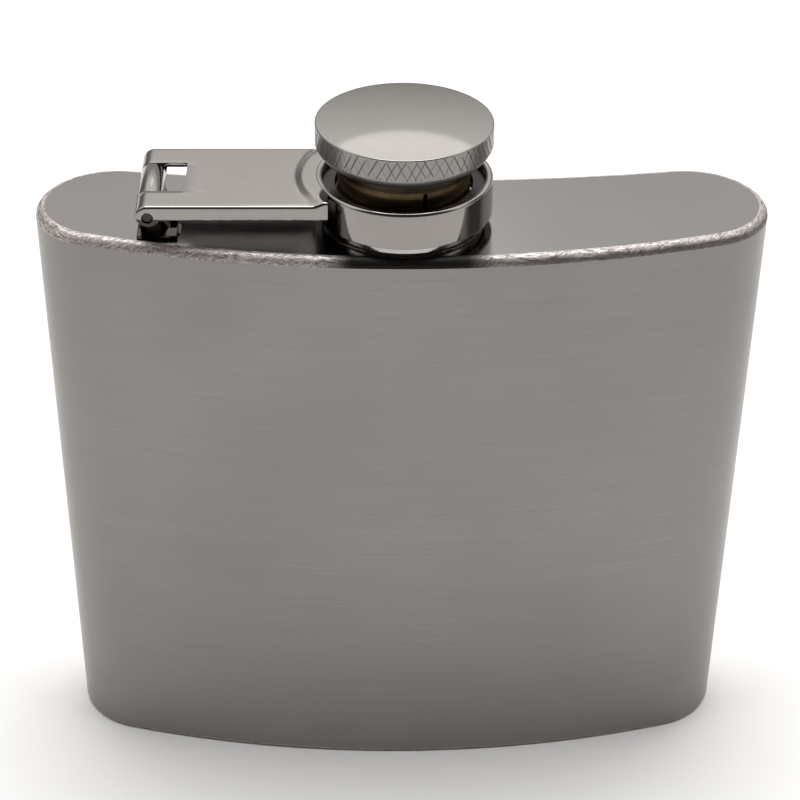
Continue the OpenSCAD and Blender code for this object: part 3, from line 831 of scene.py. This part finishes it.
# ---------------------------------------------------------------- cap
def knurl_depth(ang, h, height, rng_seed=7):
    """Depth in mm of the cut lines at each point of the rim: two sets of slanting cuts of uneven strength."""
    rng = np.random.default_rng(rng_seed)
    depth = np.zeros_like(ang)
    s = ang * CAP_R
    around = 2 * math.pi * CAP_R
    count = 58
    for side in (-1, 1):
        places = (np.arange(count) + rng.uniform(-0.14, 0.14, count)) * around / count
        facing = (0.5 - side * 0.5 * np.sin(places / CAP_R + math.pi / 2)) ** 0.8
        force = rng.uniform(0.55, 1.0, count) * (0.22 + 0.78 * facing)
        lean = rng.uniform(0.48, 0.56, count)
        cut_lo, cut_hi = rng.uniform(-0.25, 0.15, count), rng.uniform(0.9, 1.25, count)
        for p, q, sl, a, b in zip(places, force, lean, cut_lo, cut_hi):
            d = (s - p - side * sl * (h - height / 2) + around / 2) % around - around / 2
            t = h / height
            fade = np.clip((t - a) / 0.12, 0, 1) * np.clip((b - t) / 0.12, 0, 1)
            depth = np.maximum(depth, q * fade * np.exp(-(d / 0.075) ** 2))
    dots = (np.arange(116) + rng.uniform(-0.3, 0.3, 116)) * around / 116
    size = rng.uniform(0.0, 0.8, 116)
    for p, q in zip(dots, size):
        d = (s - p + around / 2) % around - around / 2
        depth = np.maximum(depth, q * np.exp(-(d / 0.11) ** 2 - ((h - 0.14) / 0.08) ** 2))
    return depth


def cap():
    """Head of the cap: under face, chamfer, knurled rim, rounded edge and shallow dome."""
    n, rows = 1080, 34
    ang = np.linspace(0, 2 * math.pi, n, endpoint=False)
    z_low, z_high = KNURL_Z0, RIM_Z1
    loops, cut = [], []

    def loop(r, z, depth=None):
        r = np.broadcast_to(r, n)
        loops.append(np.stack([r * np.cos(ang), r * np.sin(ang), np.broadcast_to(z, n)], 1))
        cut.append(np.zeros(n) if depth is None else depth)

    under = [(INSERT_R - 1.4, HEAD_Z0 + 1.2), (INSERT_R, HEAD_Z0 + 0.12)]
    under += [(INSERT_R + 0.1, HEAD_Z0), (CAP_R - CHAMFER_IN, HEAD_Z0)]
    for r, z in eased(under, {1: 0.05, 2: 0.05}, 2, closed=False):
        loop(r, z)
    for k in range(1, 8):
        t = k / 8
        loop(CAP_R - CHAMFER_IN * (1 - t) ** 1.25, HEAD_Z0 + (KNURL_Z0 - HEAD_Z0) * t)
    height = z_high - z_low
    for k in range(rows + 1):
        h = height * k / rows
        d = knurl_depth(ang, np.full(n, h), height)
        loop(CAP_R - 0.07 * d, z_low + h, d)
    top_r = CAP_R - CAP_EDGE
    for k in range(1, 8):
        a = math.pi / 2 * k / 8
        loop(top_r + CAP_EDGE * math.cos(a), z_high + CAP_EDGE * math.sin(a))
    top_z = z_high + CAP_EDGE + DOME_H
    for k in range(0, 34):
        r = top_r * (1 - k / 34)
        loop(r, top_z - DOME_H * (r / top_r) ** 2)
    verts = np.concatenate(loops)
    faces = grid_faces(len(loops), n)
    top = len(verts)
    verts = np.concatenate([verts, [[0, 0, top_z], [0, 0, HEAD_Z0 + 1.2]]])
    last = (len(loops) - 1) * n
    faces += [(last + i, last + (i + 1) % n, top) for i in range(n)]
    faces += [(i, (i + 1) % n, top + 1) for i in range(n)]
    ob = make(
        "cap_head_knurled", verts, faces, "cap", CAP_STEEL_CUT, ["cap_head"], sharp=50, weld=0)
    layer = ob.data.attributes.new("cut", "FLOAT", "POINT")
    layer.data.foreach_set("value", np.concatenate([*cut, [0, 0]]).astype(np.float32))


def cap_inside():
    """Sleeve with its groove and slit, its thread, the sealing disc and the snap ring."""
    groove_r, inner_r = SLEEVE_R - 0.25, INSERT_R - 1.45
    gz = SLEEVE_Z0 + 0.2
    gz1 = gz + SNAP_T + 0.1
    prof = [
        (0.0, SEAL_Z0 + SEAL_T), (SLEEVE_BORE, SEAL_Z0 + SEAL_T), (SLEEVE_BORE, SLEEVE_Z0),
        (SLEEVE_R, SLEEVE_Z0), (SLEEVE_R, gz), (groove_r, gz), (groove_r, gz1), (SLEEVE_R, gz1),
        (SLEEVE_R, HEAD_Z0 + 0.05),
        (inner_r, HEAD_Z0 + 0.05), (inner_r, HEAD_Z0 + 1.15), (0.0, HEAD_Z0 + 1.15)]
    prof = eased(prof, {1: 0.2, 2: 0.1, 3: 0.06, 7: 0.05, 8: 0.1}, 3, closed=False)
    v, f = lathe(prof, 256)
    ob = make("sleeve_turned", v, f, "cap", BRASS, ["threaded_sleeve"])
    slit = bpy.data.meshes.new("slit")
    bm = bmesh.new()
    bmesh.ops.create_cube(bm, size=1.0)
    bmesh.ops.scale(bm, verts=bm.verts, vec=(SLIT_W * MM, 4 * MM, (SLIT_H + 1) * MM))
    middle = (SLIT_X * MM, (1 - SLEEVE_R) * MM, (SLEEVE_Z0 + SLIT_H / 2 - 0.5) * MM)
    bmesh.ops.translate(bm, verts=bm.verts, vec=middle)
    bm.to_mesh(slit)
    bm.free()
    cutter = bpy.data.objects.new("slit", slit)
    bpy.context.scene.collection.objects.link(cutter)
    boo = ob.modifiers.new("slit", "BOOLEAN")
    boo.object = cutter
    boo.operation = "DIFFERENCE"
    boo.solver = "EXACT"
    bpy.context.view_layer.update()
    bake_modifiers(ob, 32)
    bpy.data.objects.remove(cutter)
    v, f = ridge(SLEEVE_BORE - HAIR, SLEEVE_BORE - THREAD_H, SLEEVE_THREAD_Z0)
    make("sleeve_thread_ridge", v, f, "cap", BRASS, ["sleeve_thread"], sharp=60)
    r = SLEEVE_BORE - THREAD_H - 0.15
    seal_top = SEAL_Z0 + SEAL_T - 0.02
    corners = [(0.0, SEAL_Z0), (r, SEAL_Z0), (r, seal_top), (0.0, seal_top)]
    v, f = lathe(eased(corners, {1: 0.2, 2: 0.1}, 4, closed=False), 160)
    make("seal_disc", v, f, "cap", SEAL, ["sealing_disc"])
    prof = []
    wire_r, wire_z = (SNAP_R - SLEEVE_R + 0.2) / 2, SNAP_T / 2
    centre_r = (SLEEVE_R - 0.2 + SNAP_R) / 2
    for k in range(12):
        a = 2 * math.pi * k / 12
        prof.append((centre_r + wire_r * math.cos(a), gz + 0.05 + wire_z + wire_z * math.sin(a)))
    n, half = 150, math.asin(0.8 / SNAP_R)
    verts, faces = [], []
    for i in range(n + 1):
        a = half + (2 * math.pi - 2 * half) * i / n
        verts += [(r * math.cos(a), r * math.sin(a), z) for r, z in prof]
    for i in range(n):
        for j in range(12):
            a, b = 12 * i + j, 12 * i + (j + 1) % 12
            faces.append((a, b, b + 12, a + 12))
    faces += [tuple(range(12)), tuple(12 * n + j for j in range(12))]
    make("snap_ring_wire", verts, faces, "cap_lifter", RING_STEEL, ["snap_ring"], sharp=60)


# ---------------------------------------------------------------- floor, light and camera
def stage():
    """Plain pale floor."""
    me = bpy.data.meshes.new("floor")
    me.from_pydata([(-3, -3, 0), (3, -3, 0), (3, 3, 0), (-3, 3, 0)], [], [(0, 1, 2, 3)])
    ob = bpy.data.objects.new("floor", me)
    bpy.context.scene.collection.objects.link(ob)
    m, nt, b = new_mat("pale_floor")
    t = Tree(nt)
    b.inputs["Specular IOR Level"].default_value = 0.2
    t.link(t.mix(t.noise((9, 9, 9)), (0.90, 0.90, 0.90), (0.88, 0.88, 0.88)), b.inputs["Base Color"])
    t.link(t.remap(t.noise((600, 600, 600)), 0, 1, 0.6, 0.75), b.inputs["Roughness"])
    me.materials.append(m)


def world():
    """Soft room: light behind and above, dark in front, with darker sides."""
    w = bpy.data.worlds.new("studio")
    bpy.context.scene.world = w
    w.use_nodes = True
    nt = w.node_tree
    nt.nodes.clear()
    out = nt.nodes.new("ShaderNodeOutputWorld")
    bg = nt.nodes.new("ShaderNodeBackground")
    t = Tree(nt)
    co = nt.nodes.new("ShaderNodeTexCoord").outputs["Generated"]
    sep = nt.nodes.new("ShaderNodeSeparateXYZ")
    nt.links.new(co, sep.inputs[0])
    x, y, z = (sep.outputs[k] for k in "XYZ")
    spread = t.math("MULTIPLY", t.math("ABSOLUTE", x), 0.35)
    room = t.remap(t.math("ADD", y, spread), 0.05, -0.20, 0.0, 1.0, smooth=True)
    sky = t.mix(t.remap(z, 0.28, 0.50, 0.0, 1.0), (0.50, 0.49, 0.48), (1.46, 1.43, 1.40))
    sky = t.mix(t.remap(z, 0.60, 0.95, 0.0, 1.0, smooth=True), sky, (1.7, 1.68, 1.66))
    left = t.remap(x, -0.24, -0.50, 0.0, 0.7, smooth=True)
    right = t.math("MULTIPLY", t.remap(x, 0.50, 0.68, 0.0, 0.85), t.remap(y, 0.52, 0.36, 0.0, 1.0))
    limits = t.math("MULTIPLY", t.remap(y, -0.10, 0.05, 0.0, 1.0), t.remap(z, 0.75, 0.5, 0.0, 1.0))
    colour = t.mix(t.math("MULTIPLY", t.math("ADD", left, right), limits), sky, (0.12, 0.11, 0.105))
    colour = t.mix(room, colour, (0.07, 0.065, 0.06))
    t.link(colour, bg.inputs["Color"])
    bg.inputs["Strength"].default_value = 1.0
    nt.links.new(bg.outputs[0], out.inputs[0])


def light(name, place, aim, size, power, shape="DISK", size_y=None):
    """Softbox of that size (m) and power (W), aimed at a point."""
    d = bpy.data.lights.new(name, "AREA")
    d.shape = shape
    d.size = size
    if size_y:
        d.size_y = size_y
    d.energy = power
    ob = bpy.data.objects.new(name, d)
    ob.location = place
    ob.rotation_euler = (Vector(aim) - Vector(place)).to_track_quat("-Z", "Y").to_euler()
    bpy.context.scene.collection.objects.link(ob)


def camera():
    """Camera at the fitted place: aimed a distance away along pitch and yaw, then rolled."""
    dist, aim = 0.32132, Vector((0, 0, 0.045))
    pitch, yaw, roll = math.radians(33.56), math.radians(-1.37), math.radians(0.63)
    back = Vector((math.sin(yaw) * math.cos(pitch), -math.cos(yaw) * math.cos(pitch), math.sin(pitch)))
    right = (-back).cross(Vector((0, 0, 1))).normalized()
    up = right.cross(-back)
    cam_x = right * math.cos(roll) + up * math.sin(roll)
    cam_y = up * math.cos(roll) - right * math.sin(roll)
    data = bpy.data.cameras.new("camera")
    data.sensor_width = 36
    data.lens = 106.01415
    data.shift_x, data.shift_y = -0.001175, 0.0568625
    data.clip_start, data.clip_end = 0.01, 20
    ob = bpy.data.objects.new("camera", data)
    m = Matrix((cam_x, cam_y, back)).transposed().to_4x4()
    m.translation = aim + back * dist
    ob.matrix_world = m
    bpy.context.scene.collection.objects.link(ob)
    bpy.context.scene.camera = ob


body_wall()
seams()
plates()
neck()
bracket()
retainer_arm()
cap()
cap_inside()
stage()
world()
light("back_disc", (0.021, 0.839, 0.639), (0, 0, 0.094), 0.175, 0.058)
light("overhead", (0.0, 0.10, 0.95), (0, 0, 0.05), 0.6, 4.8, "RECTANGLE", 0.5)
camera()
bpy.context.scene.view_settings.view_transform = "Standard"
